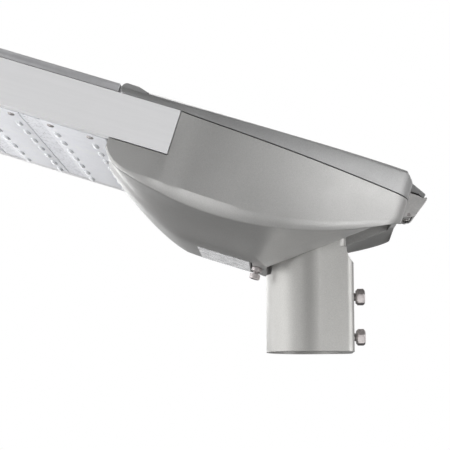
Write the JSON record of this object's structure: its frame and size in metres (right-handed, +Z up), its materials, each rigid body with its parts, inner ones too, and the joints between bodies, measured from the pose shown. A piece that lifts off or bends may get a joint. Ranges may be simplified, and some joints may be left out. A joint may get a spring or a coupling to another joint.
{
  "type": "street lamp head",
  "caption": "Street lamp head: a finned LED panel on a cast gear housing with a latched, hinged lid, tilting on a post-top spigot socket.",
  "frame": {"origin": "centre of the mast socket's mouth", "axes": "+Z up the mast and into the socket, +X to the rear of the lamp, -X towards its nose, +Y across"},
  "size_m": [0.6092, 0.3014, 0.3094],
  "materials": {
    "socket_casting": "satin silver-grey powder coat over a fine die-cast texture",
    "housing_casting": "satin silver-grey powder coat over a fine die-cast texture",
    "lid_casting": "satin grey powder coat over die-cast aluminium",
    "rail_paint": "smooth light grey paint on extruded aluminium",
    "heatsink_aluminium": "clear anodised extrusion",
    "steel_fasteners": "turned and zinc plated",
    "latch_steel": "pressed stainless sheet",
    "spring_steel": "drawn wire",
    "tray_steel": "galvanised sheet",
    "blank_label": "blank pale film",
    "gasket_rubber": "moulded silicone",
    "board_white": "white solder mask",
    "led_phosphor": "silicone over phosphor",
    "lens_plastic": "clear moulded acrylic over a white board",
    "strip_plastic": "fine speckled moulding",
    "driver_case": "white nylon case filled with potting resin",
    "surge_case": "moulded nylon",
    "terminal_plastic": "moulded nylon",
    "cable_sheath": "round cable sheath"
  },
  "bodies": {
    "mast_socket": {"spigot_socket": "socket_casting"},
    "clamp_upper": {"clamp_screw_upper": "steel_fasteners"},
    "clamp_lower": {"clamp_screw_lower": "steel_fasteners"},
    "head": {"gear_housing": "housing_casting", "tilt_pin": "steel_fasteners", "earth_bolt": "steel_fasteners", "earth_nuts": "steel_fasteners", "rating_label": "blank_label", "lid_hinge_pins": "steel_fasteners", "lid_gasket": "gasket_rubber", "latch_pin": "steel_fasteners", "latch_spring": "spring_steel", "rail_near": "rail_paint", "rail_far": "rail_paint", "rail_screws": "steel_fasteners", "led_heatsink": "heatsink_aluminium", "led_boards": "board_white", "led_chips": "led_phosphor", "lens_plates": "lens_plastic", "lens_screws": "steel_fasteners", "diffuser_strips": "strip_plastic", "nose_cap": "rail_paint", "nose_screws": "steel_fasteners", "gear_tray": "tray_steel", "tray_screws": "steel_fasteners", "led_driver": "driver_case", "surge_protector": "surge_case", "terminal_block": "terminal_plastic", "cable_grommet": "gasket_rubber", "supply_cable": "cable_sheath", "output_cable": "cable_sheath"},
    "lock_screw": {"tilt_lock_screw": "steel_fasteners"},
    "lid": {"housing_lid": "lid_casting"},
    "latch": {"latch_lever": "latch_steel"}
  },
  "joints": [
    {"name": "head_tilt", "type": "hinge", "parent": "mast_socket", "child": "head", "pos_m": [-0.02376, 0, 0.08176], "axis": [0, 1, 0], "range_deg": [-17.3, 2.7]},
    {"name": "lid_hinge", "type": "hinge", "parent": "head", "child": "lid", "pos_m": [-0.14474, 0, 0.20282], "axis": [0, -1, 0], "range_deg": [0, 70]},
    {"name": "latch_pivot", "type": "hinge", "parent": "head", "child": "latch", "pos_m": [0.08952, 0, 0.11928], "axis": [0, 1, 0], "range_deg": [0, 75]},
    {"name": "tilt_lock_travel", "type": "slide", "parent": "head", "child": "lock_screw", "axis": [-0.9548, 0, 0.2974], "range_m": [-0.0005, 0.006]},
    {"name": "clamp_upper_travel", "type": "slide", "parent": "mast_socket", "child": "clamp_upper", "axis": [1, 0, 0], "range_m": [-0.0012, 0.008]},
    {"name": "clamp_lower_travel", "type": "slide", "parent": "mast_socket", "child": "clamp_lower", "axis": [1, 0, 0], "range_m": [-0.0012, 0.008]}
  ]
}
